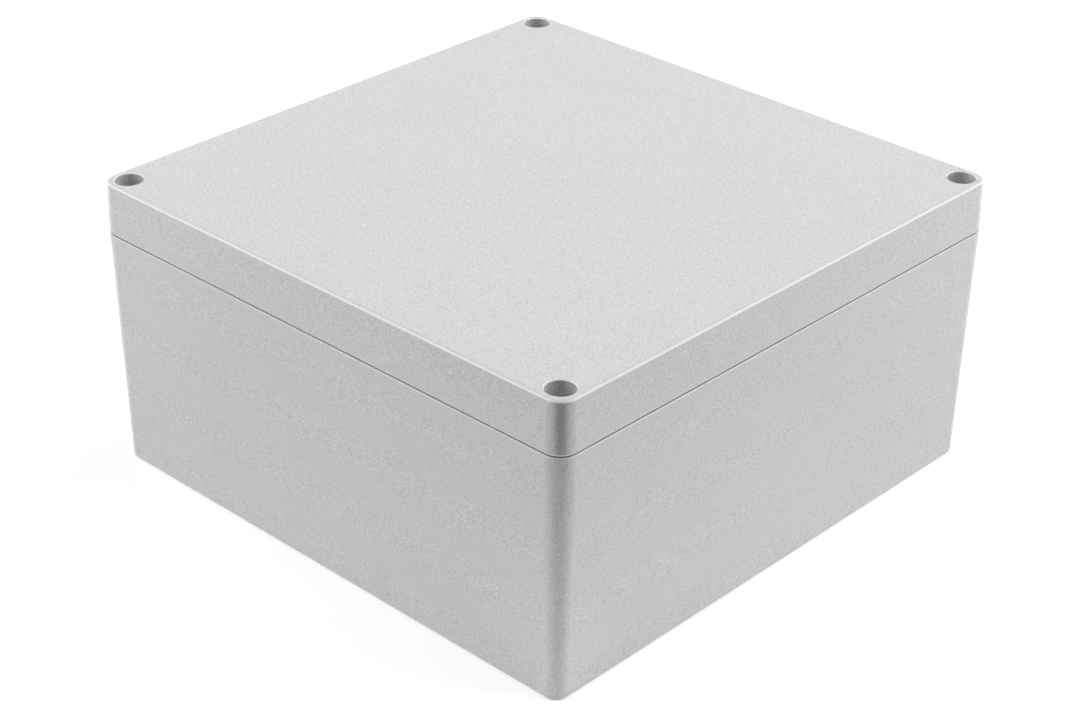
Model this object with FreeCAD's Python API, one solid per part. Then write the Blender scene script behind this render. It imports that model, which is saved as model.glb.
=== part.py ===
import FreeCAD
import Part
import math
import os

# Sealed square plastic enclosure: a deep base and a shallow lid that meet at
# one parting line, held shut by four screws sunk deep in the lid's corners.
# A tongue on the base presses into a gasket in the lid's groove. The seal runs
# inside the screw posts, so the screws stay outside the sealed space.
# Millimetres, +Z up, front towards -Y, origin at the centre of the underside.

# Outside form
WIDTH_X = 180.0            # at the parting line
DEPTH_Y = 180.0            # at the parting line
TOTAL_HEIGHT = 91.0
LID_HEIGHT = 16.2
CORNER_RADIUS = 5.5        # upright corners, at the parting line
DRAFT_DEG = 1.3            # the base tapers down and the lid tapers up
LID_EDGE_RADIUS = 1.0      # round along the lid's top edge
FOOT_EDGE_RADIUS = 0.8     # round along the base's lowest edge
LID_RIM_RADIUS = 0.9       # round along the lid's lowest edge, above the seam
RIM_EDGE_RADIUS = 0.25     # round along the base's rim, under the seam
SEAM_GAP = 0.2             # the lid's skirt stops this far above the base's rim

# Walls
BASE_WALL = 3.0
FLOOR_THICKNESS = 3.0
LID_WALL = 4.0
LID_TOP_THICKNESS = 3.0
FLOOR_CORNER_RADIUS = 1.5  # round where the inner walls meet the floor

# Seal: tongue, groove and gasket
SKIRT_THICKNESS = 1.2      # lid wall outside the groove
GROOVE_WIDTH = 1.8
GROOVE_DEPTH = 4.8         # above the parting line plus the seam gap
TONGUE_CLEARANCE = 0.2     # each side of the tongue in the groove
TONGUE_HEIGHT = 3.2
TONGUE_EDGE_RADIUS = 0.3
GASKET_EDGE_RADIUS = 0.15
SEAL_BEND_RADIUS = 4.6     # the seal's bend round a screw, before any inset
SEAL_BLEND_RADIUS = 7.0    # from a straight side into that bend, before any inset

# Screw posts
SCREW_INSET = 6.3          # screw axis from each side at the parting line
COUNTERBORE_RADIUS = 4.1
COUNTERBORE_DEPTH = 9.0
COUNTERBORE_EDGE_RADIUS = 0.3
SCREW_SEAT_THICKNESS = 2.5
SCREW_HOLE_RADIUS = 2.25
PAD_WIDTH = 1.3            # ring under the lid that lands on the post
FOOT_HOLE_RADIUS = 1.6     # blind pilot holes up into the posts
FOOT_HOLE_DEPTH = 12.0

# Lid screws, metric 4 by 20, cheese head with a cross recess
THREAD_RADIUS = 2.0
THREAD_PITCH = 0.7
SCREW_LENGTH = 20.0
SCREW_TIP_CHAMFER = 0.5
HEAD_RADIUS = 3.5
HEAD_HEIGHT = 2.6
HEAD_EDGE_RADIUS = 0.5
RECESS_SPAN = 4.4
RECESS_BOTTOM_SPAN = 1.6
RECESS_WIDTH = 1.1
RECESS_BOTTOM_WIDTH = 0.8
RECESS_DEPTH = 1.9
TURNS_TO_RELEASE = 12
RUNNING_CLEARANCE = 0.05   # round anything that turns or threads

# Nylon ring that keeps a screw in the lid
RETAINER_RADIUS = 3.4
RETAINER_THICKNESS = 1.2
RETAINER_EDGE = 0.25
POCKET_CLEARANCE = 0.3     # round the ring
STOP_CLEARANCE = 0.1       # above the ring when the screw is fully out
INSERT_CLEARANCE = 0.2     # between the ring and the insert below it

# Brass inserts for the lid screws
INSERT_RADIUS = 2.8
INSERT_LENGTH = 8.0
INSERT_WAIST_DEPTH = 0.3
INSERT_WAIST_LENGTH = 1.0
INSERT_MOUTH = 0.4

# Bosses for a circuit board, with brass inserts
BOSS_INSET = 20.0          # boss axis from each side at the parting line
BOSS_RADIUS = 4.0
BOSS_HEIGHT = 8.0
FIN_REACH = 3.0            # fins stand out this far from the boss
FIN_THICKNESS = 1.5
FIN_DROP = 3.0             # fins stop this far below the boss's top
BOARD_INSERT_RADIUS = 2.1
BOARD_INSERT_LENGTH = 5.7
BOARD_INSERT_BORE = 1.5
BOARD_INSERT_WAIST_DEPTH = 0.2
BOARD_INSERT_WAIST_LENGTH = 0.8

# Places worked out from the sizes above
SEAM_Z = TOTAL_HEIGHT - LID_HEIGHT
LID_RIM_Z = SEAM_Z + SEAM_GAP
HALF_X = WIDTH_X / 2
HALF_Y = DEPTH_Y / 2
SEAT_Z = TOTAL_HEIGHT - COUNTERBORE_DEPTH
POCKET_TOP_Z = SEAT_Z - SCREW_SEAT_THICKNESS
POCKET_RADIUS = RETAINER_RADIUS + POCKET_CLEARANCE
BACK_OUT = TURNS_TO_RELEASE * THREAD_PITCH
RETAINER_TOP_Z = POCKET_TOP_Z - STOP_CLEARANCE - BACK_OUT
RETAINER_Z = RETAINER_TOP_Z - RETAINER_THICKNESS
INSERT_TOP_Z = RETAINER_Z - INSERT_CLEARANCE
TIP_Z = SEAT_Z - SCREW_LENGTH
GROOVE_TOP_Z = LID_RIM_Z + GROOVE_DEPTH
TONGUE_TOP_Z = SEAM_Z + TONGUE_HEIGHT
CEILING_Z = TOTAL_HEIGHT - LID_TOP_THICKNESS
BOSS_TOP_Z = FLOOR_THICKNESS + BOSS_HEIGHT

UP = FreeCAD.Vector(0, 0, 1)
CORNERS = {
    "front_right": (1, -1),
    "front_left": (-1, -1),
    "back_right": (1, 1),
    "back_left": (-1, 1),
}


def draft_inset(z):
    """How far the side has moved inwards at height z, above or below the seam."""
    return abs(z - SEAM_Z) * math.tan(math.radians(DRAFT_DEG))


def corner_point(corner, inset, z):
    """The point at height z that lies inset from the two sides that meet at a corner."""
    side_x, side_y = CORNERS[corner]
    return FreeCAD.Vector(side_x * (HALF_X - inset), side_y * (HALF_Y - inset), z)


def screw_axis(corner, z):
    """The point on a corner's screw axis at height z."""
    return corner_point(corner, SCREW_INSET, z)


def boss_axis(corner, z):
    """The point on a board boss's axis at height z."""
    return corner_point(corner, BOSS_INSET, z)


def corner_frames():
    """Each outer corner in turn, with the inward directions of its two sides."""
    right, left = FreeCAD.Vector(1, 0, 0), FreeCAD.Vector(-1, 0, 0)
    back, front = FreeCAD.Vector(0, 1, 0), FreeCAD.Vector(0, -1, 0)
    return [
        (FreeCAD.Vector(HALF_X, HALF_Y, 0), left, front),
        (FreeCAD.Vector(-HALF_X, HALF_Y, 0), front, right),
        (FreeCAD.Vector(-HALF_X, -HALF_Y, 0), right, back),
        (FreeCAD.Vector(HALF_X, -HALF_Y, 0), back, left),
    ]


def closed_outline(corner_arcs, z):
    """A closed wire at height z: the same arcs at each corner, joined by straight sides.

    Each arc is three points, given as distances in from the corner's two sides.
    """
    edges = []
    first = last = None
    for corner, in_one, in_two in corner_frames():
        for arc in corner_arcs:
            start, middle, end = [
                corner + in_one * u + in_two * v + UP * z for u, v in arc
            ]
            if last is not None and (start - last).Length > 1e-6:
                edges.append(Part.LineSegment(last, start).toShape())
            edges.append(Part.Arc(start, middle, end).toShape())
            first = first or start
            last = end
    edges.append(Part.LineSegment(last, first).toShape())
    return Part.Wire(edges)


def outer_outline(inset, z):
    """The rounded rectangle of the outside, moved in by inset."""
    radius = CORNER_RADIUS - inset
    nearest = CORNER_RADIUS - radius * math.sqrt(0.5)
    return closed_outline(
        [[(inset, CORNER_RADIUS), (nearest, nearest), (CORNER_RADIUS, inset)]], z
    )


def seal_outline(inset, z):
    """The line that runs inside the screws: straight along the sides and bent in round each screw."""
    blend = SEAL_BLEND_RADIUS - inset
    bend = SEAL_BEND_RADIUS + inset
    reach = SEAL_BEND_RADIUS + SEAL_BLEND_RADIUS
    across = SEAL_BLEND_RADIUS - SCREW_INSET
    along = math.sqrt(reach ** 2 - across ** 2)
    blend_u, blend_v = SEAL_BLEND_RADIUS, SCREW_INSET + along
    touch_u = SCREW_INSET + bend * across / reach
    touch_v = SCREW_INSET + bend * along / reach
    to_side = (-1.0, 0.0)
    to_screw = (-across / reach, -along / reach)
    half_u, half_v = to_side[0] + to_screw[0], to_side[1] + to_screw[1]
    half_length = math.hypot(half_u, half_v)
    blend_middle = (blend_u + blend * half_u / half_length, blend_v + blend * half_v / half_length)
    bend_middle = SCREW_INSET + bend * math.sqrt(0.5)
    first = [(inset, blend_v), blend_middle, (touch_u, touch_v)]
    second = [(touch_u, touch_v), (bend_middle, bend_middle), (touch_v, touch_u)]
    third = [(v, u) for u, v in reversed(first)]
    return closed_outline([first, second, third], z)


def tapered(outline, wall, z_low, z_high):
    """A solid between two heights whose sides follow the draft, wall inside the outer face."""
    low = outline(wall + draft_inset(z_low), z_low)
    high = outline(wall + draft_inset(z_high), z_high)
    return Part.makeLoft([low, high], True, True)


def upright(outline, inset, z_low, z_high):
    """A solid with upright sides on an outline."""
    return Part.Face(outline(inset, z_low)).extrude(UP * (z_high - z_low))


def edges_at(shape, z):
    """The edges of a shape that lie at height z."""
    return [
        edge for edge in shape.Edges
        if abs(edge.BoundBox.ZMin - z) < 1e-6 and abs(edge.BoundBox.ZMax - z) < 1e-6
    ]


def seal_ring(inset_outer, inset_inner, z_low, z_high):
    """A ring that follows the seal line, with upright walls."""
    outer = upright(seal_outline, inset_outer, z_low, z_high)
    return outer.cut(upright(seal_outline, inset_inner, z_low, z_high))


def turned(profile, centre):
    """A solid turned about an upright axis from (radius, height) points, with heights from centre."""
    points = [FreeCAD.Vector(r, 0, h) for r, h in profile]
    face = Part.Face(Part.makePolygon(points + points[:1]))
    solid = face.revolve(FreeCAD.Vector(0, 0, 0), UP, 360)
    solid.translate(centre)
    return solid


def cylinder(radius, z_low, z_high, axis):
    """An upright cylinder on a corner's axis function result."""
    base = FreeCAD.Vector(axis.x, axis.y, z_low)
    return Part.makeCylinder(radius, z_high - z_low, base)


def base():
    """The deep lower shell with its posts, tongue and board bosses."""
    body = tapered(outer_outline, 0.0, 0.0, SEAM_Z)
    body = body.makeFillet(FOOT_EDGE_RADIUS, edges_at(body, 0.0))
    body = body.makeFillet(RIM_EDGE_RADIUS, edges_at(body, SEAM_Z))
    room = tapered(seal_outline, BASE_WALL, FLOOR_THICKNESS, SEAM_Z)
    room = room.makeFillet(FLOOR_CORNER_RADIUS, edges_at(room, FLOOR_THICKNESS))
    body = body.cut(room)
    tongue = seal_ring(
        SKIRT_THICKNESS + TONGUE_CLEARANCE,
        SKIRT_THICKNESS + GROOVE_WIDTH - TONGUE_CLEARANCE,
        SEAM_Z,
        TONGUE_TOP_Z,
    )
    tongue = tongue.makeFillet(TONGUE_EDGE_RADIUS, edges_at(tongue, TONGUE_TOP_Z))
    body = body.fuse([tongue] + [board_boss(corner) for corner in CORNERS])
    for corner in CORNERS:
        axis = screw_axis(corner, 0.0)
        body = body.cut(cylinder(POCKET_RADIUS, INSERT_TOP_Z, SEAM_Z, axis))
        body = body.cut(cylinder(INSERT_RADIUS, INSERT_TOP_Z - INSERT_LENGTH, SEAM_Z, axis))
        tip_room = cylinder(SCREW_HOLE_RADIUS, TIP_Z - 2 * THREAD_PITCH, SEAM_Z, axis)
        body = body.cut(tip_room)
        body = body.cut(cylinder(FOOT_HOLE_RADIUS, 0.0, FOOT_HOLE_DEPTH, axis))
        boss = boss_axis(corner, 0.0)
        low = BOSS_TOP_Z - BOARD_INSERT_LENGTH
        body = body.cut(cylinder(BOARD_INSERT_RADIUS, low, BOSS_TOP_Z, boss))
    return body.removeSplitter()


def board_boss(corner):
    """A round boss on the floor with four fins."""
    axis = boss_axis(corner, 0.0)
    low = FLOOR_THICKNESS / 2
    boss = cylinder(BOSS_RADIUS, low, BOSS_TOP_Z, axis)
    span = 2 * (BOSS_RADIUS + FIN_REACH)
    fin_height = BOSS_TOP_Z - FIN_DROP - low
    for size_x, size_y in ((span, FIN_THICKNESS), (FIN_THICKNESS, span)):
        fin_corner = FreeCAD.Vector(axis.x - size_x / 2, axis.y - size_y / 2, low)
        boss = boss.fuse(Part.makeBox(size_x, size_y, fin_height, fin_corner))
    return boss


def lid():
    """The shallow upper shell with its groove and the four sunk screw seats."""
    body = tapered(outer_outline, 0.0, LID_RIM_Z, TOTAL_HEIGHT)
    body = body.makeFillet(LID_EDGE_RADIUS, edges_at(body, TOTAL_HEIGHT))
    body = body.makeFillet(LID_RIM_RADIUS, edges_at(body, LID_RIM_Z))
    room = tapered(seal_outline, LID_WALL, LID_RIM_Z, CEILING_Z)
    room = room.makeFillet(FLOOR_CORNER_RADIUS, edges_at(room, CEILING_Z))
    body = body.cut(room)
    groove_inner = SKIRT_THICKNESS + GROOVE_WIDTH
    body = body.cut(seal_ring(SKIRT_THICKNESS, groove_inner, LID_RIM_Z, GROOVE_TOP_Z))
    for corner in CORNERS:
        axis = screw_axis(corner, 0.0)
        pad = cylinder(POCKET_RADIUS + PAD_WIDTH, SEAM_Z, LID_RIM_Z, axis)
        body = body.fuse(pad)
    for corner in CORNERS:
        body = body.cut(screw_way(corner))
    return body.removeSplitter()


def screw_way(corner):
    """What is cut from the lid for one screw: counterbore, hole and the ring's pocket."""
    axis = screw_axis(corner, 0.0)
    way = cylinder(COUNTERBORE_RADIUS, SEAT_Z, TOTAL_HEIGHT, axis)
    mouth = turned(
        [
            (0, -COUNTERBORE_EDGE_RADIUS),
            (COUNTERBORE_RADIUS, -COUNTERBORE_EDGE_RADIUS),
            (COUNTERBORE_RADIUS + COUNTERBORE_EDGE_RADIUS, 0),
            (0, 0),
        ],
        FreeCAD.Vector(axis.x, axis.y, TOTAL_HEIGHT),
    )
    hole = cylinder(SCREW_HOLE_RADIUS, POCKET_TOP_Z, SEAT_Z, axis)
    pocket = cylinder(POCKET_RADIUS, SEAM_Z, POCKET_TOP_Z, axis)
    return way.fuse([mouth, hole, pocket])


def gasket():
    """The soft ring at the top of the groove, pressed to the tongue's height."""
    ring = seal_ring(
        SKIRT_THICKNESS, SKIRT_THICKNESS + GROOVE_WIDTH, TONGUE_TOP_Z, GROOVE_TOP_Z
    )
    return ring.makeFillet(GASKET_EDGE_RADIUS, edges_at(ring, TONGUE_TOP_Z))


def lid_screw(corner):
    """A cheese-head screw with a cross recess. Its thread is a plain cylinder here."""
    top = HEAD_HEIGHT
    screw = turned(
        [
            (0, -SCREW_LENGTH),
            (THREAD_RADIUS - SCREW_TIP_CHAMFER, -SCREW_LENGTH),
            (THREAD_RADIUS, -SCREW_LENGTH + SCREW_TIP_CHAMFER),
            (THREAD_RADIUS, 0),
            (HEAD_RADIUS, 0),
            (HEAD_RADIUS, top),
            (0, top),
        ],
        FreeCAD.Vector(0, 0, 0),
    )
    rim = [edge for edge in edges_at(screw, top) if len(edge.Vertexes) == 1]
    screw = screw.makeFillet(HEAD_EDGE_RADIUS, rim)
    for quarter in (0, 90):
        slot = Part.makeLoft(
            [
                rectangle(RECESS_BOTTOM_SPAN, RECESS_BOTTOM_WIDTH, top - RECESS_DEPTH),
                rectangle(RECESS_SPAN, RECESS_WIDTH, top),
            ],
            True,
            True,
        )
        slot.rotate(FreeCAD.Vector(0, 0, 0), UP, quarter)
        screw = screw.cut(slot)
    screw.translate(screw_axis(corner, SEAT_Z))
    return screw


def rectangle(size_x, size_y, z):
    """A closed rectangle centred on the Z axis at height z."""
    x, y = size_x / 2, size_y / 2
    points = [FreeCAD.Vector(*p, z) for p in ((-x, -y), (x, -y), (x, y), (-x, y))]
    return Part.makePolygon(points + points[:1])


def screw_retainer(corner):
    """The nylon ring round a screw, between the lid's seat and the insert."""
    bore = THREAD_RADIUS + RUNNING_CLEARANCE
    outer = RETAINER_RADIUS
    top = RETAINER_THICKNESS
    edge = RETAINER_EDGE
    return turned(
        [
            (bore, 0),
            (outer - edge, 0),
            (outer, edge),
            (outer, top - edge),
            (outer - edge, top),
            (bore, top),
        ],
        screw_axis(corner, RETAINER_Z),
    )


def insert(radius, bore, length, waist_depth, waist_length, mouth, top):
    """A brass bush with a waist half way down, hung from the point top."""
    waist = radius - waist_depth
    low = -length / 2 - waist_length / 2
    high = -length / 2 + waist_length / 2
    return turned(
        [
            (bore, -length),
            (radius, -length),
            (radius, low),
            (waist, low),
            (waist, high),
            (radius, high),
            (radius, 0),
            (bore + mouth, 0),
            (bore, -mouth),
        ],
        top,
    )


def screw_insert(corner):
    """The brass bush that a lid screw threads into."""
    bore = THREAD_RADIUS + RUNNING_CLEARANCE
    return insert(
        INSERT_RADIUS, bore, INSERT_LENGTH, INSERT_WAIST_DEPTH,
        INSERT_WAIST_LENGTH, INSERT_MOUTH, screw_axis(corner, INSERT_TOP_Z),
    )


def board_insert(corner):
    """The brass bush in a board boss."""
    return insert(
        BOARD_INSERT_RADIUS, BOARD_INSERT_BORE, BOARD_INSERT_LENGTH, BOARD_INSERT_WAIST_DEPTH,
        BOARD_INSERT_WAIST_LENGTH, INSERT_MOUTH / 2, boss_axis(corner, BOSS_TOP_Z),
    )


def main():
    """Makes every piece and writes one STEP file for each."""
    os.makedirs("parts", exist_ok=True)
    pieces = {"base": base(), "lid": lid(), "gasket": gasket()}
    for corner in CORNERS:
        pieces["lid_screw_" + corner] = lid_screw(corner)
        pieces["screw_retainer_" + corner] = screw_retainer(corner)
        pieces["screw_insert_" + corner] = screw_insert(corner)
        pieces["board_insert_" + corner] = board_insert(corner)
    for name, shape in pieces.items():
        box = shape.BoundBox
        print(
            f"{name}: {shape.ShapeType}, {len(shape.Solids)} solid, valid {shape.isValid()}, "
            f"{shape.Volume:.1f} mm3, {box.XLength:.2f} x {box.YLength:.2f} x {box.ZLength:.2f}"
        )
        shape.exportStep(os.path.join("parts", name + ".step"))


main()
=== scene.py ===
"""A sealed square enclosure of grey ABS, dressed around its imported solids.

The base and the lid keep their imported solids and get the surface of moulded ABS. The pieces
that show once the lid is off are remade with their real detail: rolled threads on the lid
screws, knurled brass inserts, moulded nylon rings and the foamed gasket. Lengths are metres
unless a name ends in mm. Azimuths are degrees from the front, -Y, towards the right, +X.
"""

import logging
import math
from dataclasses import dataclass, field
from enum import Enum
from typing import Any, Iterable, Sequence

import bmesh
import bpy
from bmesh.types import BMesh, BMVert
from bpy.types import Material, Mesh, Node, NodeSocket, NodeTree, Object
from mathutils import Matrix, Vector


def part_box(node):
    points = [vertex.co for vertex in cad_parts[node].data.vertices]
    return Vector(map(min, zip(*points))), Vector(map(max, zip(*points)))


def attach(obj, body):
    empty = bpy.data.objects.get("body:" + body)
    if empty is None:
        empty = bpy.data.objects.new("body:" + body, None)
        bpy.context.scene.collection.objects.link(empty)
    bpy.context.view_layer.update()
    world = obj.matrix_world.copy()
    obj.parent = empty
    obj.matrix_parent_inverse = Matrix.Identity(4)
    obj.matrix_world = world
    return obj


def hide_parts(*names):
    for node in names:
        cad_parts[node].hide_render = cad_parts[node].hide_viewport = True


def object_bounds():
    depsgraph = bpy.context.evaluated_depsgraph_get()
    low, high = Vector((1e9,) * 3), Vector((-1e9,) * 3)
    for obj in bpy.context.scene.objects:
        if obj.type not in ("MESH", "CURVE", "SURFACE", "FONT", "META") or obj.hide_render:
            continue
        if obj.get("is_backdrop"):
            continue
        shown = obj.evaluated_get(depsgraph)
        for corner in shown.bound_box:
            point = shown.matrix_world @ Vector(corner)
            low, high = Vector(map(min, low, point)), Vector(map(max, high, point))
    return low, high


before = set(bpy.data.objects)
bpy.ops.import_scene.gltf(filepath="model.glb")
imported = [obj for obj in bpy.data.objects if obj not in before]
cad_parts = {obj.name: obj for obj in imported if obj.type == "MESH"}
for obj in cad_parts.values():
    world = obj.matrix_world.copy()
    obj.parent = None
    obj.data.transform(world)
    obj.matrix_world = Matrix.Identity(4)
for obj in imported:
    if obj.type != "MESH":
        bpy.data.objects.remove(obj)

LOG = logging.getLogger("enclosure")
Point = tuple[float, float]  # a profile's radius and height, or a place in a plan
MM = 0.001
WHITE = (1.0, 1.0, 1.0, 1.0)
UV_MAP = "round_and_along"
NOISE_ROUGHNESS = 0.55
NOISE_RANGE = (0.3, 0.7)  # where nearly all of a noise factor lies
TINY = 1e-6  # keeps a division by a distance safe


class Corner(Enum):
    """The four corners, by their names inside node and body names."""

    FRONT_RIGHT = "front_right"
    FRONT_LEFT = "front_left"
    BACK_RIGHT = "back_right"
    BACK_LEFT = "back_left"


class Kind(Enum):
    """The attributes that say how much of a thread or a knurl each point carries."""

    THREAD = "thread_share"
    KNURL = "knurl_share"


# Small helpers


def direction(azimuth: float, elevation: float) -> Vector:
    """The direction from the box to a viewer or a lamp, from angles in degrees."""
    turn, tilt = math.radians(azimuth), math.radians(elevation)
    return Vector((
        math.sin(turn) * math.cos(tilt), -math.cos(turn) * math.cos(tilt), math.sin(tilt)
    ))


def linear(hex_colour: str) -> tuple[float, float, float, float]:
    """Turns an sRGB hex colour, with or without its #, into linear RGBA."""
    digits = hex_colour.lstrip("#")
    channels = [int(digits[i:i + 2], 16) / 255 for i in (0, 2, 4)]
    straight = [c / 12.92 if c <= 0.04045 else ((c + 0.055) / 1.055) ** 2.4 for c in channels]
    return (*straight, 1.0)


def per_size(millimetres: float) -> float:
    """The texture scale at which one feature is that many millimetres across."""
    return 1.0 / (millimetres * MM)


def add_node(
    tree: NodeTree,
    kind: str,
    settings: dict[Any, Any] | None = None,
    links: dict[Any, NodeSocket] | None = None,
) -> Node:
    """Adds a node, sets its properties and input values, and links its inputs.

    Args:
        tree: The tree that gets the node.
        kind: The node's type name.
        settings: Property names, or input names or numbers, with their values.
        links: Input names or numbers, with the output socket that feeds each.

    Returns:
        The new node.
    """
    made = tree.nodes.new(kind)
    for key, value in (settings or {}).items():
        if isinstance(key, str) and hasattr(made, key):
            setattr(made, key, value)
        else:
            made.inputs[key].default_value = value
    for key, socket in (links or {}).items():
        tree.links.new(socket, made.inputs[key])
    return made


def ranged(
    tree: NodeTree, value: NodeSocket, span: Sequence[float], to: Sequence[float] = (0.0, 1.0)
) -> NodeSocket:
    """Maps a span of values to another range, and holds its ends beyond the span."""
    return add_node(
        tree, "ShaderNodeMapRange",
        {"From Min": span[0], "From Max": span[1], "To Min": to[0], "To Max": to[1]},
        {"Value": value},
    ).outputs["Result"]


def mixed(
    tree: NodeTree, factor: NodeSocket, one: str | NodeSocket, two: str | NodeSocket
) -> NodeSocket:
    """Mixes two colours by a factor. Each is a hex colour or a socket."""
    mix = add_node(tree, "ShaderNodeMix", {"data_type": "RGBA"}, {"Factor": factor})
    ends = [s for s in mix.inputs if s.type == "RGBA"]
    for colour, end in zip((one, two), ends):
        if isinstance(colour, str):
            end.default_value = linear(colour)
        else:
            tree.links.new(colour, end)
    return next(s for s in mix.outputs if s.type == "RGBA")


@dataclass
class Maths:
    """Adds arithmetic to a node tree."""

    tree: NodeTree

    def do(self, operation: str, *terms: Any, clamp: bool = False) -> NodeSocket:
        """Adds one operation on sockets or numbers, and clamps it to 0 and 1 if asked."""
        made = add_node(
            self.tree, "ShaderNodeMath", {"operation": operation, "use_clamp": clamp}
        )
        for index, term in enumerate(terms):
            if isinstance(term, NodeSocket):
                self.tree.links.new(term, made.inputs[index])
            else:
                made.inputs[index].default_value = term
        return made.outputs["Value"]

    def product(self, *terms: Any) -> NodeSocket:
        """Multiplies any number of sockets or numbers."""
        result = terms[0]
        for term in terms[1:]:
            result = self.do("MULTIPLY", result, term)
        return result

    def wave(self, phase: NodeSocket) -> NodeSocket:
        """A triangle wave from 0 to 1 and back over each whole step of the phase."""
        return self.do("MULTIPLY", self.do("PINGPONG", phase, 0.5), 2.0)

    def share(self, kind: Kind) -> NodeSocket:
        """How much of a repeated form each point carries."""
        stored = add_node(
            self.tree, "GeometryNodeInputNamedAttribute",
            {"data_type": "FLOAT", "Name": kind.value},
        )
        return next(s for s in stored.outputs if s.enabled and s.name == "Attribute")


def background_rays(tree: NodeTree, glossy_share: NodeSocket | None = None) -> NodeSocket:
    """A factor of 1 on the rays that show the background.

    Args:
        tree: The tree that gets the nodes.
        glossy_share: What glossy rays get instead of 1, where that depends on their direction.

    Returns:
        The factor: 1 on camera and transmission rays, the share on glossy rays, 0 on others.
    """
    maths = Maths(tree)
    path = add_node(tree, "ShaderNodeLightPath").outputs
    glossy = path["Is Glossy Ray"]
    if glossy_share is not None:
        glossy = maths.do("MULTIPLY", glossy, glossy_share)
    seen = maths.do("MAXIMUM", path["Is Camera Ray"], glossy)
    return maths.do("MAXIMUM", seen, path["Is Transmission Ray"])


def add_object(name: str, data: Any) -> Object:
    """Links a mesh, a lamp or a camera to the scene as an object at the origin."""
    made = bpy.data.objects.new(name, data)
    bpy.context.scene.collection.objects.link(made)
    return made


def baked(source: Object) -> Object:
    """Replaces an object that has modifiers by a plain mesh object of the same name."""
    name = source.name
    source.name = name + "_blank"
    graph = bpy.context.evaluated_depsgraph_get()
    mesh = bpy.data.meshes.new_from_object(source.evaluated_get(graph), depsgraph=graph)
    mesh.name = name
    bpy.data.objects.remove(source)
    return add_object(name, mesh)


def closed(form: BMesh, mesh: Mesh) -> Mesh:
    """Turns a closed form's faces outwards, writes it into a mesh and frees it."""
    bmesh.ops.recalc_face_normals(form, faces=form.faces)
    form.to_mesh(mesh)
    form.free()
    return mesh


def smooth(mesh: Mesh) -> None:
    """Shades every face of a mesh smooth."""
    for face in mesh.polygons:
        face.use_smooth = True


def keep_sharp(piece: Object, degrees: float) -> None:
    """Keeps the edges that turn by more than an angle sharp."""
    piece.data.set_sharp_from_angle(angle=math.radians(degrees))


def centre_of(node: str) -> Vector:
    """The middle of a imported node's box."""
    low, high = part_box(node)
    return (Vector(low) + Vector(high)) / 2


# Finishes


@dataclass(frozen=True)
class Noise:
    """A noise pattern of a real size, with some octaves of finer noise."""

    size_mm: float
    detail: float


@dataclass(frozen=True)
class Relief:
    """How strongly and how deep a pattern is pressed into a surface."""

    strength: float
    depth_mm: float


@dataclass
class Shader:
    """A material in the making: a principled shader, and the steps that finishes share."""

    name: str

    def __post_init__(self) -> None:
        """Makes the material with the shader wired to its output."""
        self.material = bpy.data.materials.new(self.name)
        self.material.use_nodes = True
        self.tree = self.material.node_tree
        self.tree.nodes.clear()
        self.surface = add_node(self.tree, "ShaderNodeBsdfPrincipled")
        add_node(
            self.tree, "ShaderNodeOutputMaterial",
            links={"Surface": self.surface.outputs["BSDF"]},
        )
        self.coordinates = add_node(self.tree, "ShaderNodeTexCoord").outputs

    def noise(self, pattern: Noise) -> NodeSocket:
        """Adds a noise pattern that is fixed to the piece."""
        return add_node(
            self.tree, "ShaderNodeTexNoise",
            {
                "Scale": per_size(pattern.size_mm), "Detail": pattern.detail,
                "Roughness": NOISE_ROUGHNESS,
            },
            {"Vector": self.coordinates["Object"]},
        ).outputs["Fac"]

    def spread(self, noise: NodeSocket, low: float = 0.0, high: float = 1.0) -> NodeSocket:
        """Maps a noise factor's usual range to a range of values."""
        return ranged(self.tree, noise, NOISE_RANGE, (low, high))

    def around(self, noise: NodeSocket, middle: float, play: float) -> NodeSocket:
        """Lets a value play on both sides of its middle with a noise factor."""
        return self.spread(noise, middle - play, middle + play)

    def relief(self, height: NodeSocket, relief: Relief) -> NodeSocket:
        """Bends the surface's normal with a pattern of heights."""
        return add_node(
            self.tree, "ShaderNodeBump",
            {"Strength": relief.strength, "Distance": relief.depth_mm * MM},
            {"Height": height},
        ).outputs["Normal"]

    def feed(self, inputs: dict[str, Any]) -> Material:
        """Sets or links the principled shader's inputs and returns the material."""
        for name, value in inputs.items():
            if isinstance(value, NodeSocket):
                self.tree.links.new(value, self.surface.inputs[name])
            else:
                self.surface.inputs[name].default_value = value
        return self.material


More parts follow.
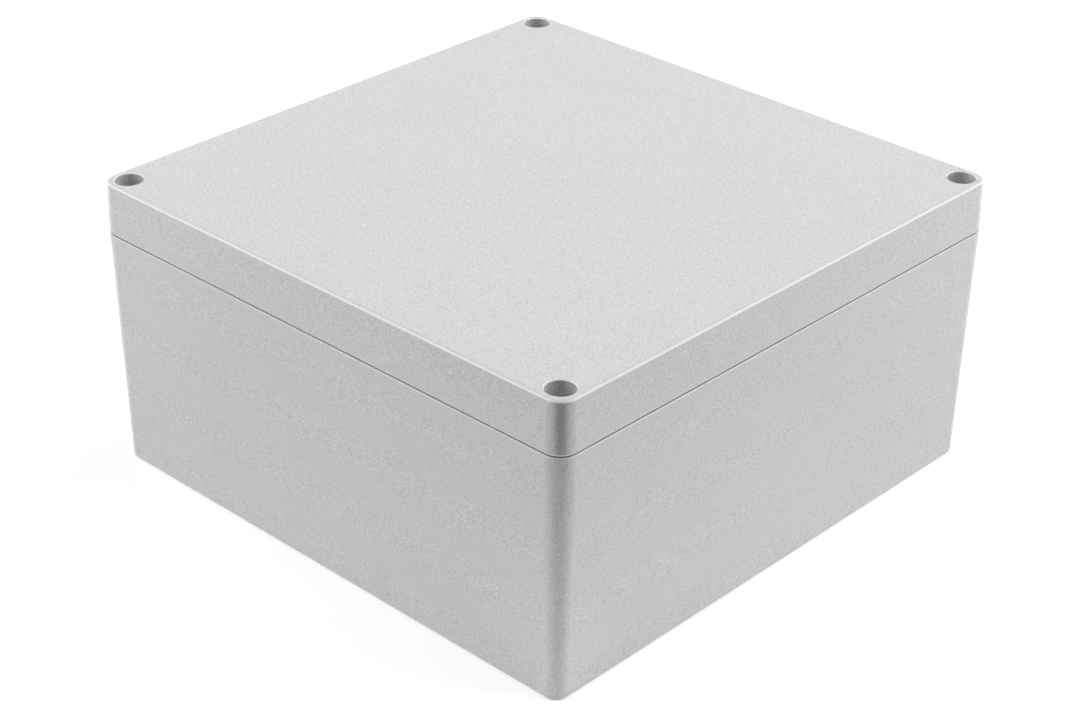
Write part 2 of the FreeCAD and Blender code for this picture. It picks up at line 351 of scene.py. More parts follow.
@dataclass(frozen=True)
class MouldedAbs:
    """Light grey ABS from a spark-eroded mould.

    It gives the eye an even matt grey, a fine dull grain under raking light and a soft sheen.
    Along each upper edge's round it has a painted highlight: a paler line that stands in for
    the lamps' gloss on the round. The lid has that painted highlight along its lower edges too.
    """

    name: str
    highlight_both_edges: bool = False  # whether the lower edges have the line as well
    dark: str = "#B9B9B9"
    light: str = "#E4E4E4"
    # edge is the colour of the painted highlight on the edge rounds, standing in for the lamps'
    # gloss
    edge: str = "#FCFCFC"
    highlight_rise: tuple[float, float] = (0.1, 0.35)  # the line's lower rim, as the normal's height
    highlight_fall: tuple[float, float] = (0.65, 0.85)  # its upper rim
    grain: Noise = Noise(0.45, 3.0)  # the real grain is about 0.15 mm, too fine to show
    cloud: Noise = Noise(28.0, 2.0)  # slow changes of tone where the melt flowed
    grain_share: float = 0.96  # of the tone. The cloud has the rest
    relief: Relief = Relief(0.35, 0.02)
    roughness: float = 0.2
    roughness_play: float = 0.05
    gloss: float = 1.0
    ior: float = 1.55

    def build(self) -> Material:
        """Makes the material."""
        shader = Shader(self.name)
        grain = shader.noise(self.grain)
        cloud = shader.noise(self.cloud)
        tone = add_node(
            shader.tree, "ShaderNodeMix", {"data_type": "FLOAT", "Factor": self.grain_share},
            {"A": shader.spread(cloud), "B": shader.spread(grain)},
        ).outputs["Result"]
        body = mixed(shader.tree, tone, self.dark, self.light)
        return shader.feed({
            # The base colour carries the painted highlight along the edge rounds.
            "Base Color": mixed(shader.tree, self.painted_highlight(shader), body, self.edge),
            "Roughness": shader.around(grain, self.roughness, self.roughness_play),
            "Normal": shader.relief(grain, self.relief),
            "IOR": self.ior,
            "Specular IOR Level": self.gloss,
        })

    def painted_highlight(self, shader: Shader) -> NodeSocket:
        """A factor of 1 on the rounds between an upright face and a level one, where the
        highlight is painted.
        """
        maths = Maths(shader.tree)
        slope = add_node(
            shader.tree, "ShaderNodeSeparateXYZ",
            links={"Vector": shader.coordinates["Normal"]},
        ).outputs["Z"]
        if self.highlight_both_edges:
            slope = maths.do("ABSOLUTE", slope)
        rise = ranged(shader.tree, slope, self.highlight_rise)
        fall = ranged(shader.tree, slope, self.highlight_fall, (1.0, 0.0))
        return maths.do("MULTIPLY", rise, fall)


@dataclass(frozen=True)
class FoamRubber:
    """Closed-cell silicone foam for the gasket, dark and soft, with fine open pores."""

    name: str
    dark: str = "#1E1F20"
    light: str = "#333436"
    cell_mm: float = 0.3
    cloud: Noise = Noise(2.5, 3.0)
    relief: Relief = Relief(0.6, 0.06)
    roughness: float = 0.85
    ior: float = 1.43

    def build(self) -> Material:
        """Makes the material."""
        shader = Shader(self.name)
        cells = add_node(
            shader.tree, "ShaderNodeTexVoronoi", {"Scale": per_size(self.cell_mm)},
            {"Vector": shader.coordinates["Object"]},
        ).outputs["Distance"]
        cloud = shader.spread(shader.noise(self.cloud))
        return shader.feed({
            "Base Color": mixed(shader.tree, cloud, self.dark, self.light),
            "Roughness": self.roughness,
            "Normal": shader.relief(cells, self.relief),
            "IOR": self.ior,
        })


@dataclass(frozen=True)
class MouldedNylon:
    """Natural nylon for the retaining rings: warm white, slightly waxy and translucent."""

    name: str
    dark: str = "#DAD4C4"
    light: str = "#E9E4D7"
    cloud: Noise = Noise(1.8, 3.0)
    roughness: float = 0.39
    roughness_play: float = 0.05
    scatter: float = 0.25  # the share of the light that goes in
    scatter_mm: float = 0.5  # how far it travels there
    ior: float = 1.53

    def build(self) -> Material:
        """Makes the material."""
        shader = Shader(self.name)
        cloud = shader.noise(self.cloud)
        return shader.feed({
            "Base Color": mixed(shader.tree, shader.spread(cloud), self.dark, self.light),
            "Roughness": shader.around(cloud, self.roughness, self.roughness_play),
            "Subsurface Weight": self.scatter,
            "Subsurface Scale": self.scatter_mm * MM,
            "IOR": self.ior,
        })


@dataclass(frozen=True)
class WorkedMetal:
    """A turned or rolled metal: its colour and fine tool marks that run round the piece.

    The marks follow the piece's UV map, whose first axis runs round it and whose second runs
    along its profile, in millimetres.
    """

    name: str
    dark: str
    light: str
    roughness: float
    mark_mm: float
    marks_round: float = 1.5  # to each unit of the UV map's first axis
    mark_detail: float = 2.0
    stain: Noise = Noise(1.6, 4.0)
    relief: Relief = Relief(0.25, 0.01)
    roughness_play: float = 0.08

    def build(self) -> Material:
        """Makes the material."""
        shader = Shader(self.name)
        along = add_node(shader.tree, "ShaderNodeUVMap", {"uv_map": UV_MAP}).outputs["UV"]
        marks_at = add_node(
            shader.tree, "ShaderNodeMapping",
            {"Scale": (self.marks_round, 1.0 / self.mark_mm, 1.0)}, {"Vector": along},
        ).outputs["Vector"]
        marks = add_node(
            shader.tree, "ShaderNodeTexNoise", {"Scale": 1.0, "Detail": self.mark_detail},
            {"Vector": marks_at},
        ).outputs["Fac"]
        stain = shader.spread(shader.noise(self.stain))
        return shader.feed({
            "Base Color": mixed(shader.tree, stain, self.dark, self.light),
            "Roughness": shader.around(marks, self.roughness, self.roughness_play),
            "Normal": shader.relief(marks, self.relief),
            "Metallic": 1.0,
        })


@dataclass(frozen=True)
class Paper:
    """The white sweep that the box stands on. The camera sees it fade to white further off."""

    name: str
    colour: str = "#F0F0F0"
    roughness: float = 0.9
    glow: tuple[float, float] = (0.35, 1.0)
    reach: tuple[float, float] = (0.30, 1.20)  # from the box's centre, past its shadow

    def build(self) -> Material:
        """Makes the material."""
        shader = Shader(self.name)
        away = add_node(
            shader.tree, "ShaderNodeVectorMath", {"operation": "LENGTH"},
            {0: shader.coordinates["Object"]},
        ).outputs["Value"]
        glow = ranged(shader.tree, away, self.reach, self.glow)
        return shader.feed({
            "Base Color": linear(self.colour),
            "Roughness": self.roughness,
            "Specular IOR Level": 0.0,
            "Emission Color": WHITE,
            "Emission Strength": Maths(shader.tree).do(
                "MULTIPLY", background_rays(shader.tree), glow
            ),
        })


# Turned pieces


@dataclass(frozen=True)
class Station:
    """One ring of a turned profile, with how much of a thread or knurl it carries."""

    radius: float
    height: float
    thread: float = 0.0
    knurl: float = 0.0


@dataclass
class Turning:
    """A closed piece turned about an upright axis from a list of stations."""

    name: str
    axis: Vector
    stations: list[Station]
    segments: int
    segments_per_unit: int = 8  # of the UV map's first axis
    closing_band: float = 1.0 * MM  # what the second axis gives the band that closes a ring

    def mesh(self) -> Mesh:
        """Revolves the stations and stores the shares of thread and knurl on the points."""
        form = bmesh.new()
        shares = [form.verts.layers.float.new(kind.value) for kind in Kind]
        uv_map = form.loops.layers.uv.new(UV_MAP)
        rings = [self._ring(form, station, shares) for station in self.stations]
        travelled = [0.0]
        for one, two in zip(self.stations, self.stations[1:]):
            step = math.hypot(two.radius - one.radius, two.height - one.height)
            travelled.append(travelled[-1] + step)
        pairs = list(zip(rings, rings[1:]))
        if self.stations[0].radius > 0:
            pairs.append((rings[-1], rings[0]))
            travelled.append(travelled[-1] + self.closing_band)
        for index, (low, high) in enumerate(pairs):
            along = (travelled[index] / MM, travelled[index + 1] / MM)
            self._band(form, low, high, along, uv_map)
        made = closed(form, bpy.data.meshes.new(self.name))
        smooth(made)
        return made

    def _ring(self, form: BMesh, station: Station, shares: list[Any]) -> list[BMVert]:
        """Adds one ring of points, or a single point on the axis."""
        points = []
        for turn in range(self.segments if station.radius > 0 else 1):
            angle = 2 * math.pi * turn / self.segments
            offset = Vector((math.cos(angle), math.sin(angle), 0)) * station.radius
            point = form.verts.new(
                Vector((self.axis.x, self.axis.y, station.height)) + offset
            )
            for layer, share in zip(shares, (station.thread, station.knurl)):
                point[layer] = share
            points.append(point)
        return points

    def _band(
        self, form: BMesh, low: list[BMVert], high: list[BMVert], along: Point, uv_map: Any
    ) -> None:
        """Joins two rings with faces and writes their UV coordinates."""
        for turn in range(self.segments):
            places = {}
            for ring, step, v in (
                (low, turn, along[0]), (low, turn + 1, along[0]),
                (high, turn + 1, along[1]), (high, turn, along[1]),
            ):
                point = ring[step % len(ring)]
                places.setdefault(point, (step / self.segments_per_unit, v))
            face = form.faces.new(list(places))
            for loop, place in zip(face.loops, places.values()):
                loop[uv_map].uv = place


def rounded(
    start: Point, middle: Point, end: Point, radius: float, steps: int = 5
) -> list[Point]:
    """Rounds the corner at middle of a profile.

    Args:
        start: The point before the corner.
        middle: The corner.
        end: The point after it.
        radius: The round's radius.
        steps: How many steps the round is drawn in.

    Returns:
        The points of the round, from the start's side to the end's.
    """
    corner = Vector(middle)
    back = (Vector(start) - corner).normalized()
    ahead = (Vector(end) - corner).normalized()
    half = back.angle(ahead) / 2
    reach = radius / math.tan(half)
    centre = corner + (back + ahead).normalized() * (radius / math.sin(half))
    first = corner + back * reach - centre
    last = corner + ahead * reach - centre
    sweep = first.angle_signed(last)
    points = []
    for step in range(steps + 1):
        turned = first.copy()
        turned.rotate(Matrix.Rotation(-sweep * step / steps, 2))
        points.append(tuple(centre + turned))
    return points


def stepped(low: float, high: float, step: float) -> list[float]:
    """Even heights from low to high, no more than step apart."""
    count = max(1, math.ceil((high - low) / step))
    return [low + (high - low) * i / count for i in range(count + 1)]


def fade(value: float, low: float, high: float, run: float) -> float:
    """1 between low and high, falling to 0 over the last run of each end."""
    share = min((value - low) / run, (high - value) / run, 1.0)
    return max(0.0, share)


# Geometry-nodes trees


@dataclass
class FormTree:
    """A geometry-nodes tree that forms a piece, with named inputs for its sizes."""

    name: str
    sizes: dict[str, float]  # the inputs that are numbers, and what each is until it is set
    inputs: dict[str, str] = field(default_factory=dict)

    def __post_init__(self) -> None:
        """Adds the tree with its inputs and its output."""
        self.tree = bpy.data.node_groups.new(self.name, "GeometryNodeTree")
        self.maths = Maths(self.tree)
        self._input("Piece", "Geometry")
        for name, size in self.sizes.items():
            self._input(name, "Float").default_value = size
        self._input("Surface", "Material")
        self.tree.interface.new_socket(
            "Piece", in_out="OUTPUT", socket_type="NodeSocketGeometry"
        )
        self.given = add_node(self.tree, "NodeGroupInput").outputs
        self.wire()

    def _input(self, name: str, kind: str) -> Any:
        """Adds an input and keeps its identifier."""
        made = self.tree.interface.new_socket(
            name, in_out="INPUT", socket_type="NodeSocket" + kind
        )
        self.inputs[name] = made.identifier
        return made

    def wire(self) -> None:
        """Adds the nodes that form the piece."""
        raise NotImplementedError

    def place(self) -> Any:
        """The outputs X, Y and Z of each point's place."""
        position = add_node(self.tree, "GeometryNodeInputPosition").outputs["Position"]
        return add_node(
            self.tree, "ShaderNodeSeparateXYZ", links={"Vector": position}
        ).outputs

    def moved(self, geometry: NodeSocket, offset: dict[str, NodeSocket]) -> NodeSocket:
        """Moves each point by an offset that is given by axis."""
        vector = add_node(self.tree, "ShaderNodeCombineXYZ", links=offset).outputs["Vector"]
        return add_node(
            self.tree, "GeometryNodeSetPosition",
            links={"Geometry": geometry, "Offset": vector},
        ).outputs["Geometry"]

    def put_out(self, geometry: NodeSocket) -> None:
        """Makes the result real, gives it its surface and puts it out."""
        real = add_node(
            self.tree, "GeometryNodeRealizeInstances", links={"Geometry": geometry}
        )
        dressed = add_node(
            self.tree, "GeometryNodeSetMaterial",
            links={"Geometry": real.outputs["Geometry"], "Material": self.given["Surface"]},
        )
        add_node(self.tree, "NodeGroupOutput", links={"Piece": dressed.outputs["Geometry"]})

    def apply(self, piece: Object, values: dict[str, Any]) -> Object:
        """Runs the tree on a piece.

        Args:
            piece: The piece, which is replaced.
            values: Input names and what each is set to.

        Returns:
            The plain result, under the piece's name.
        """
        modifier = piece.modifiers.new(self.name, "NODES")
        modifier.node_group = self.tree
        for key, value in values.items():
            modifier[self.inputs[key]] = value
        return baked(piece)


@dataclass
class RollingTree(FormTree):
    """Rolls a thread and presses a knurl into a turned piece.

    The thread rises with the turn as a right-hand thread does. The knurl is two crossing sets
    of grooves.
    """

    name: str = "roll_thread_and_knurl"
    sizes: dict[str, float] = field(default_factory=lambda: {
        "Axis X": 0.0, "Axis Y": 0.0, "Pitch": 0.7 * MM, "Thread depth": 0.0,
        "Knurl depth": 0.0, "Knurl grooves": 24.0, "Knurl rise": 2.0 * MM,
    })
    crest_slope: float = 1.3  # steeper than the wave, which leaves flats on crest and root
    crest_start: float = -0.15

    def wire(self) -> None:
        """Adds the nodes that form the piece."""
        maths, given, place = self.maths, self.given, self.place()
        across = maths.do("SUBTRACT", place["X"], given["Axis X"])
        deep = maths.do("SUBTRACT", place["Y"], given["Axis Y"])
        turn = maths.do("DIVIDE", maths.do("ARCTAN2", deep, across), 2 * math.pi)
        away = maths.do("SQRT", maths.do(
            "ADD", maths.product(across, across), maths.product(deep, deep)
        ))
        climb = maths.do("DIVIDE", place["Z"], given["Pitch"])
        flank = maths.wave(maths.do("SUBTRACT", climb, turn))
        crest = maths.do("MULTIPLY_ADD", flank, self.crest_slope, self.crest_start, clamp=True)
        valley = maths.do("SUBTRACT", 1.0, crest)
        thread = maths.product(valley, given["Thread depth"], maths.share(Kind.THREAD))
        teeth = maths.product(turn, given["Knurl grooves"])
        rise = maths.do("DIVIDE", place["Z"], given["Knurl rise"])
        one_way = maths.wave(maths.do("ADD", teeth, rise))
        other_way = maths.wave(maths.do("SUBTRACT", teeth, rise))
        groove = maths.do("SUBTRACT", 1.0, maths.do("MINIMUM", one_way, other_way))
        knurl = maths.product(groove, given["Knurl depth"], maths.share(Kind.KNURL))
        inwards = maths.product(maths.do("ADD", thread, knurl), -1.0)
        safe = maths.do("MAXIMUM", away, TINY)
        self.put_out(self.moved(given["Piece"], {
            "X": maths.product(maths.do("DIVIDE", across, safe), inwards),
            "Y": maths.product(maths.do("DIVIDE", deep, safe), inwards),
        }))


@dataclass
class SweepTree(FormTree):
    """Sweeps the gasket's section along its path, with the line that the tongue presses in."""

    press_flank: float = 0.15 * MM
    fillet_points: int = 4
    section_points: int = 44

    def wire(self) -> None:
        """Adds the nodes that form the piece."""
        tree, maths, given = self.tree, self.maths, self.given
        section = add_node(
            tree, "GeometryNodeCurvePrimitiveQuadrilateral",
            links={"Width": given["Width"], "Height": given["Height"]},
        )
        eased = add_node(
            tree, "GeometryNodeFilletCurve", {"mode": "POLY", "Count": self.fillet_points},
            {"Curve": section.outputs["Curve"], "Radius": given["Edge"]},
        )
        fine = add_node(
            tree, "GeometryNodeResampleCurve", {"Count": self.section_points},
            {"Curve": eased.outputs["Curve"]},
        )
        place = self.place()
        half_press = maths.product(given["Press width"], 0.5)
        depth_in = maths.do("SUBTRACT", half_press, maths.do("ABSOLUTE", place["X"]))
        inside = maths.do("MULTIPLY", depth_in, 1 / self.press_flank, clamp=True)
        below = maths.do("LESS_THAN", place["Y"], 0.0)
        lift = maths.product(inside, below, given["Press depth"])
        line = add_node(tree, "GeometryNodeMeshToCurve", links={"Mesh": given["Piece"]})
        swept = add_node(
            tree, "GeometryNodeCurveToMesh",
            links={
                "Curve": line.outputs["Curve"],
                "Profile Curve": self.moved(fine.outputs["Curve"], {"Y": lift}),
            },
        )
        self.put_out(swept.outputs["Mesh"])


# Sub-assemblies


@dataclass
class Housing:
    """The base and the lid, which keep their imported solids."""

    surfaces: dict[str, Material]

    def dress(self) -> None:
        """Gives each part of the housing its moulded surface."""
        for node, surface in self.surfaces.items():
            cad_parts[node].data.materials[0] = surface
            LOG.info("dressed %s", node)


@dataclass
class LidScrew:
    """A stainless cheese-head screw with a rolled thread and a cross recess."""

    corner: Corner
    pitch: float = 0.7 * MM
    thread_depth: float = 0.38 * MM
    thread_fade: float = 1.2  # turns over which the thread runs out
    rings_per_turn: int = 8
    plain_neck: float = 1.2 * MM
    neck_ring: float = 0.15 * MM  # the shank's last ring lies this far under the head
    tip_chamfer: float = 0.5 * MM
    shank_radius: float = 2.0 * MM
    head_height: float = 2.6 * MM
    head_round: float = 0.5 * MM
    head_bevel: float = 0.1 * MM  # round the head's underside
    top_rings: tuple[float, ...] = (0.75, 0.5, 0.25, 0.0)  # shares of the head's radius
    recess_span: float = 4.4 * MM
    recess_bottom_span: float = 1.6 * MM
    recess_width: float = 1.1 * MM
    recess_bottom_width: float = 0.7 * MM
    recess_depth: float = 1.9 * MM
    cutter_over: float = 0.4 * MM  # how far the recess's cutter stands above the head
    segments: int = 48
    sharp_from: float = 35.0  # degrees

    @property
    def node(self) -> str:
        """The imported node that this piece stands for."""
        return "lid_screw_" + self.corner.value

    def stations(self, low: float, high: float, head_radius: float) -> list[Station]:
        """The screw's profile from its tip to the top of its head."""
        seat = high - self.head_height
        shank = self.shank_radius
        thread_end = seat - self.plain_neck
        profile = [Station(0.0, low), Station(shank - self.tip_chamfer, low)]
        for height in stepped(
            low + self.tip_chamfer, thread_end, self.pitch / self.rings_per_turn
        ):
            share = fade(height, low, thread_end, self.thread_fade * self.pitch)
            profile.append(Station(shank, height, thread=share))
        edge = rounded(
            (head_radius, seat), (head_radius, high), (0.0, high), self.head_round
        )
        outline = [
            (shank, seat - self.neck_ring), (shank, seat),
            (head_radius - self.head_bevel, seat), (head_radius, seat + self.head_bevel),
            *edge, *((head_radius * share, high) for share in self.top_rings),
        ]
        return profile + [Station(r, z) for r, z in outline]

    def recess(self, axis: Vector, top: float) -> Object:
        """The tapered cross that the driver goes into, as a cutter."""
        form = bmesh.new()
        slope = (self.recess_span - self.recess_bottom_span) / self.recess_depth
        over = self.cutter_over
        levels = (
            (top - self.recess_depth, self.recess_bottom_span, self.recess_bottom_width),
            (top, self.recess_span, self.recess_width),
            (top + over, self.recess_span + slope * over, self.recess_width),
        )
        rings = []
        for height, span, width in levels:
            s, w = span / 2, width / 2
            outline = (
                (w, w), (w, s), (-w, s), (-w, w), (-s, w), (-s, -w),
                (-w, -w), (-w, -s), (w, -s), (w, -w), (s, -w), (s, w),
            )
            rings.append(
                [form.verts.new((axis.x + x, axis.y + y, height)) for x, y in outline]
            )
        for low, high in zip(rings, rings[1:]):
            for i in range(len(low)):
                j = (i + 1) % len(low)
                form.faces.new((low[i], low[j], high[j], high[i]))
        form.faces.new(rings[0])
        form.faces.new(rings[-1])
        name = "recess_cutter"
        return add_object(name, closed(form, bpy.data.meshes.new(name)))

    def build(self, rolling: RollingTree, surface: Material) -> Object:
        """Turns the screw, rolls its thread and presses its recess."""
        low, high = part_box(self.node)
        axis = centre_of(self.node)
        stations = self.stations(low[2], high[2], (high[0] - low[0]) / 2)
        turning = Turning(self.node + "_turned", axis, stations, self.segments)
        piece = rolling.apply(
            add_object("screw_" + self.corner.value, turning.mesh()),
            {
                "Axis X": axis.x, "Axis Y": axis.y, "Pitch": self.pitch,
                "Thread depth": self.thread_depth, "Surface": surface,
            },
        )
        cutter = self.recess(axis, high[2])
        cut = piece.modifiers.new("recess", "BOOLEAN")
        cut.operation = "DIFFERENCE"
        cut.solver = "EXACT"
        cut.object = cutter
        piece = baked(piece)
        bpy.data.objects.remove(cutter)
        keep_sharp(piece, self.sharp_from)
        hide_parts(self.node)
        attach(piece, "screw_" + self.corner.value)
        return piece


@dataclass
class Insert:
    """A turned brass insert: two knurled bands, a waist between them and a tapped bore."""

    node: str
    name: str
    bore: float
    waist_depth: float
    waist_length: float
    pitch: float
    grooves: int
    mouth: float = 0.4 * MM
    lip: float = 0.35 * MM  # the plain rim at each end of a knurled band
    bevel: float = 0.1 * MM  # round each band's ends
    waist_flank: float = 0.05 * MM
    knurl_depth: float = 0.14 * MM
    knurl_rise: float = 1.1 * MM
    knurl_fade: float = 0.15 * MM
    ring_step: float = 0.12 * MM
    rings_per_turn: int = 8
    bore_lead: float = 0.2 * MM  # the plain start of the bore
    thread_share: float = -0.6  # of the pitch. A tapped thread goes outwards
    segments_per_groove: int = 6
    sharp_from: float = 40.0  # degrees

    def stations(self, low: float, high: float, radius: float) -> list[Station]:
        """The insert's profile, up the outside and down the bore."""
        middle = (low + high) / 2
        half = self.waist_length / 2
        bands = ((low, middle - half), (middle + half, high))
        profile = []
        for number, (start, end) in enumerate(bands):
            profile.append(Station(radius - self.bevel, start))
            for height in stepped(start + self.lip / 2, end - self.lip / 2, self.ring_step):
                share = fade(
                    height, start + self.lip / 3, end - self.lip / 3, self.knurl_fade
                )
                profile.append(Station(radius, height, knurl=share))
            profile.append(Station(radius - self.bevel, end))
            if number == 0:
                waist = radius - self.waist_depth
                profile.append(Station(waist, end + self.waist_flank))
                profile.append(Station(waist, bands[1][0] - self.waist_flank))
        inner_end = high - self.mouth
        profile.append(Station(self.bore + self.mouth, high))
        for height in reversed(
            stepped(low + self.bore_lead, inner_end, self.pitch / self.rings_per_turn)
        ):
            share = fade(height, low, inner_end, self.pitch)
            profile.append(Station(self.bore, height, thread=share))
        profile.append(Station(self.bore, low))
        return profile

    def build(self, rolling: RollingTree, surface: Material) -> Object:
        """Turns the insert, knurls it and taps it."""
        low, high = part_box(self.node)
        axis = centre_of(self.node)
        stations = self.stations(low[2], high[2], (high[0] - low[0]) / 2)
        turning = Turning(
            self.node + "_turned", axis, stations, self.grooves * self.segments_per_groove
        )
        piece = rolling.apply(
            add_object(self.name, turning.mesh()),
            {
                "Axis X": axis.x, "Axis Y": axis.y, "Pitch": self.pitch,
                "Thread depth": self.thread_share * self.pitch,
                "Knurl depth": self.knurl_depth, "Knurl grooves": float(self.grooves),
                "Knurl rise": self.knurl_rise, "Surface": surface,
            },
        )
        keep_sharp(piece, self.sharp_from)
        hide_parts(self.node)
        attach(piece, "base")
        return piece


@dataclass
class Retainer:
    """A moulded nylon ring that keeps a screw in the lid."""

    corner: Corner
    bore: float = 2.05 * MM
    edge: float = 0.25 * MM
    bore_edge: float = 0.1 * MM
    segments: int = 72
    sharp_from: float = 35.0  # degrees

    @property
    def node(self) -> str:
        """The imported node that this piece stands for."""
        return "screw_retainer_" + self.corner.value

    def build(self, surface: Material) -> Object:
        """Makes the ring with rounded rims."""
        low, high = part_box(self.node)
        radius = (high[0] - low[0]) / 2
        bottom, top = low[2], high[2]
        corners = [(self.bore, bottom), (radius, bottom), (radius, top), (self.bore, top)]
        stations = []
        for index, corner in enumerate(corners):
            before = corners[index - 1]
            after = corners[(index + 1) % len(corners)]
            size = self.edge if corner[0] == radius else self.bore_edge
            stations += [Station(r, z) for r, z in rounded(before, corner, after, size)]
        turning = Turning(
            self.node + "_turned", centre_of(self.node), stations, self.segments
        )
        piece = add_object("retaining_ring_" + self.corner.value, turning.mesh())
        piece.data.materials.append(surface)
        keep_sharp(piece, self.sharp_from)
        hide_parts(self.node)
        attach(piece, "ring_" + self.corner.value)
        return piece


@dataclass
class Seal:
    """The foamed gasket: one closed ring that follows the lid's groove round the screws."""

    bend_radius: float = 4.6 * MM
    blend_radius: float = 7.0 * MM
    screw_inset: float = 6.3 * MM
    skirt: float = 1.2 * MM
    width: float = 1.8 * MM
    round_radius: float = 0.15 * MM
    press_width: float = 1.3 * MM
    press_depth: float = 0.12 * MM
    arc_steps: int = 14
    sharp_from: float = 40.0  # degrees

    def path(self, half_x: float, half_y: float, z: float) -> list[Vector]:
        """The middle line of the groove: straight sides, bent in round each screw."""
        inset = self.skirt + self.width / 2
        reach = self.bend_radius + self.blend_radius
        across = self.blend_radius - self.screw_inset
        along = math.sqrt(reach ** 2 - across ** 2)
        blend_centre = (self.blend_radius, self.screw_inset + along)
        screw = (self.screw_inset, self.screw_inset)
        turn = math.atan2(along, across)
        blend = self.blend_radius - inset
        bend = self.bend_radius + inset
        first = self._arc(blend_centre, blend, math.pi, math.pi + turn)
        second = self._arc(screw, bend, turn, math.pi / 2 - turn)
        third = [(v, u) for u, v in reversed(first)]
        sides = [
            (Vector((half_x, half_y)), Vector((-1, 0)), Vector((0, -1))),
            (Vector((-half_x, half_y)), Vector((0, -1)), Vector((1, 0))),
            (Vector((-half_x, -half_y)), Vector((1, 0)), Vector((0, 1))),
            (Vector((half_x, -half_y)), Vector((0, 1)), Vector((-1, 0))),
        ]
        points = []
        for origin, in_one, in_two in sides:
            for u, v in first + second[1:-1] + third:
                flat = origin + in_one * u + in_two * v
                points.append(Vector((flat.x, flat.y, z)))
        return points

    def _arc(self, centre: Point, radius: float, start: float, end: float) -> list[Point]:
        """Points along an arc from one angle to another."""
        points = []
        for step in range(self.arc_steps + 1):
            angle = start + (end - start) * step / self.arc_steps
            points.append(
                (centre[0] + radius * math.cos(angle), centre[1] + radius * math.sin(angle))
            )
        return points

    def build(self, surface: Material) -> Object:
        """Sweeps the gasket in its groove."""
        low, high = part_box("gasket")
        points = self.path(
            high[0] + self.skirt, high[1] + self.skirt, (low[2] + high[2]) / 2
        )
        mesh = bpy.data.meshes.new("gasket_path")
        edges = [(i, (i + 1) % len(points)) for i in range(len(points))]
        mesh.from_pydata(points, edges, [])
        sizes = {
            "Width": self.width, "Height": high[2] - low[2], "Edge": self.round_radius,
            "Press width": self.press_width, "Press depth": self.press_depth,
        }
        piece = SweepTree("sweep_gasket", sizes).apply(
            add_object("gasket_ring", mesh), {**sizes, "Surface": surface}
        )
        form = bmesh.new()
        form.from_mesh(piece.data)
        smooth(closed(form, piece.data))
        keep_sharp(piece, self.sharp_from)
        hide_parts("gasket")
        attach(piece, "lid")
        return piece


# Studio


@dataclass(frozen=True)
class StudioCamera:
    """The photograph's viewpoint, fitted to the box's edges.

    Distances are in units of the box's side, from the middle of the parting plane.
    """

    azimuth: float = 43.259
    elevation: float = 29.545
    roll: float = 0.611
    focal_px: float = 2458.3
    image_width_px: float = 1080.0
    right_shift: float = 0.0104
    up_shift: float = 0.20877
    distance: float = 3.9271
    sensor: float = 36.0
    clip_start: float = 0.01  # metres

    def build(self, side: float, parting: float) -> None:
        """Adds the camera.

        Args:
            side: The box's side.
            parting: The height of the parting line.
        """
        turn, lean = math.radians(self.azimuth), math.radians(self.roll)
        back = direction(self.azimuth, self.elevation)
        right = Vector((math.cos(turn), math.sin(turn), 0))
        up = back.cross(right)
        leant_right = right * math.cos(lean) + up * math.sin(lean)
        leant_up = up * math.cos(lean) - right * math.sin(lean)
        place = (
            back * self.distance - leant_right * self.right_shift - leant_up * self.up_shift
        ) * side
        place.z += parting
        data = bpy.data.cameras.new("camera")
        data.sensor_width = self.sensor
        data.lens = self.focal_px / self.image_width_px * self.sensor
        data.clip_start = self.clip_start
        camera = add_object("camera", data)
        axes = Matrix((leant_right, leant_up, back)).transposed().to_4x4()
        camera.matrix_world = Matrix.Translation(place) @ axes
        bpy.context.scene.camera = camera


@dataclass(frozen=True)
class SoftBox:
    """A large square lamp that faces the object. The gloss shows the tent in front of it."""

    name: str
    azimuth: float
    elevation: float
    distance: float
    size: float
    watts: float

    def build(self, target: Vector) -> None:
        """Hangs the lamp round the target."""
        towards = direction(self.azimuth, self.elevation)
        data = bpy.data.lights.new(self.name, "AREA")
        data.shape = "SQUARE"
        data.size = self.size
        data.energy = self.watts
        lamp = add_object(self.name, data)
        lamp.visible_glossy = False
        lamp.location = target + towards * self.distance
        lamp.rotation_euler = towards.to_track_quat("Z", "Y").to_euler()


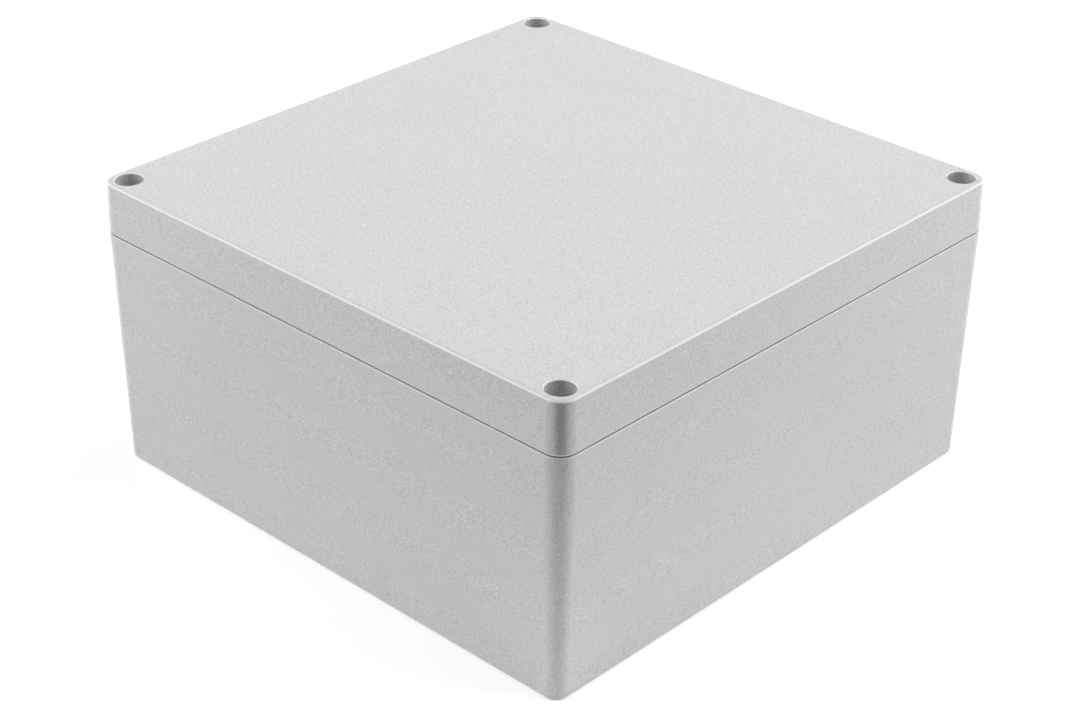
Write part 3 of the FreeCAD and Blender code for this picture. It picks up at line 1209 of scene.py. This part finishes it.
@dataclass(frozen=True)
class Studio:
    """A white table between two side lamps and one above, as the photograph is lit.

    The tent round the table is white too, but for the opening that the camera looks through,
    and the box's near corner shows that opening as a dark band. Angles are degrees.
    """

    camera: StudioCamera = StudioCamera()
    azimuth: float = 46.0  # of the tent's opening, between the side lamps
    lamp_aside: float = 95.0  # from the opening to each side lamp
    lamp_height: float = 30.0  # of the side lamps
    top_height: float = 90.0  # of the lamp above
    lamp_distance: float = 1.7
    side_size: float = 1.65
    top_size: float = 1.5
    left_watts: float = 23.6
    right_watts: float = 27.3
    top_watts: float = 11.0
    ambient: float = 0.02
    table_front: float = 0.245  # from the box's centre to the table's front edge
    table_reach: float = 4.0  # the other ways
    opening_height: float = -22.0  # above the box's middle
    opening_radius: float = 26.0
    opening_blur: float = 4.0

    def build(self) -> None:
        """Adds the camera, the lamps, the floor and the world."""
        low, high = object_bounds()
        self.camera.build(high[0] - low[0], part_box("lid")[0][2])
        middle = Vector((0, 0, high[2] / 2))
        left, right = self.azimuth - self.lamp_aside, self.azimuth + self.lamp_aside
        for name, azimuth, height, size, watts in (
            ("lamp_left", left, self.lamp_height, self.side_size, self.left_watts),
            ("lamp_right", right, self.lamp_height, self.side_size, self.right_watts),
            ("lamp_above", self.azimuth, self.top_height, self.top_size, self.top_watts),
        ):
            SoftBox(name, azimuth, height, self.lamp_distance, size, watts).build(middle)
        self.floor()
        self.world()
        bpy.context.scene.view_settings.view_transform = "Standard"

    def floor(self) -> None:
        """Lays the white table, whose front edge is just in front of the box."""
        ahead = direction(self.azimuth, 0.0)
        aside = Vector((-ahead.y, ahead.x, 0))
        front, reach = self.table_front, self.table_reach
        mesh = bpy.data.meshes.new("floor")
        mesh.from_pydata(
            [
                ahead * front - aside * reach, ahead * front + aside * reach,
                aside * reach - ahead * reach, -aside * reach - ahead * reach,
            ],
            [], [(0, 1, 2, 3)],
        )
        floor = add_object("floor", mesh)
        floor.data.materials.append(Paper("white_paper").build())
        floor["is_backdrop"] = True

    def world(self) -> None:
        """White to the camera and, but for the opening, to the gloss. A dim light to the rest."""
        world = bpy.data.worlds.new("studio")
        world.use_nodes = True
        tree = world.node_tree
        tree.nodes.clear()
        nearness = add_node(
            tree, "ShaderNodeVectorMath",
            {"operation": "DOT_PRODUCT", 1: direction(self.azimuth, self.opening_height)},
            {0: add_node(tree, "ShaderNodeTexCoord").outputs["Generated"]},
        ).outputs["Value"]
        rims = [self.opening_radius + side * self.opening_blur for side in (-1, 1)]
        tent = ranged(tree, nearness, [math.cos(math.radians(rim)) for rim in rims])
        rays = background_rays(tree, tent)
        background = add_node(
            tree, "ShaderNodeBackground", {"Color": WHITE},
            {"Strength": ranged(tree, rays, (0.0, 1.0), (self.ambient, 1.0))},
        )
        add_node(
            tree, "ShaderNodeOutputWorld", links={"Surface": background.outputs["Background"]}
        )
        bpy.context.scene.world = world


def main() -> None:
    """Builds every class in order, and reports each piece."""
    logging.basicConfig(level=logging.INFO, format="%(name)s: %(message)s")
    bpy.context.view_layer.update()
    Studio().build()
    # Both surfaces carry a painted highlight on their upper edge rounds; the lid's also on its
    # lower ones.
    Housing({
        "base": MouldedAbs("moulded_abs_base").build(),
        "lid": MouldedAbs("moulded_abs_lid", highlight_both_edges=True).build(),
    }).dress()
    rolling = RollingTree()
    # Stainless steel: bright neutral grey. Brass: a warm yellow, and coarser turning marks.
    steel = WorkedMetal(
        "stainless_steel", "#B9BBBD", "#C9CBCC", roughness=0.28, mark_mm=0.05
    ).build()
    brass = WorkedMetal(
        "turned_brass", "#C39A45", "#D4B062", roughness=0.3, mark_mm=0.06
    ).build()
    nylon = MouldedNylon("natural_nylon").build()
    pieces = [Seal().build(FoamRubber("silicone_foam").build())]
    for corner in Corner:
        pieces.append(LidScrew(corner).build(rolling, steel))
        pieces.append(Retainer(corner).build(nylon))
        pieces.append(Insert(
            "screw_insert_" + corner.value, "post_insert_" + corner.value,
            bore=2.05 * MM, waist_depth=0.3 * MM, waist_length=1.0 * MM, pitch=0.7 * MM,
            grooves=24,
        ).build(rolling, brass))
        pieces.append(Insert(
            "board_insert_" + corner.value, "boss_insert_" + corner.value,
            bore=1.5 * MM, waist_depth=0.2 * MM, waist_length=0.8 * MM, pitch=0.5 * MM,
            grooves=20, mouth=0.2 * MM,
        ).build(rolling, brass))
    for piece in pieces:
        LOG.info("%s has %d faces", piece.name, len(piece.data.polygons))


if __name__ == "__main__":
    main()
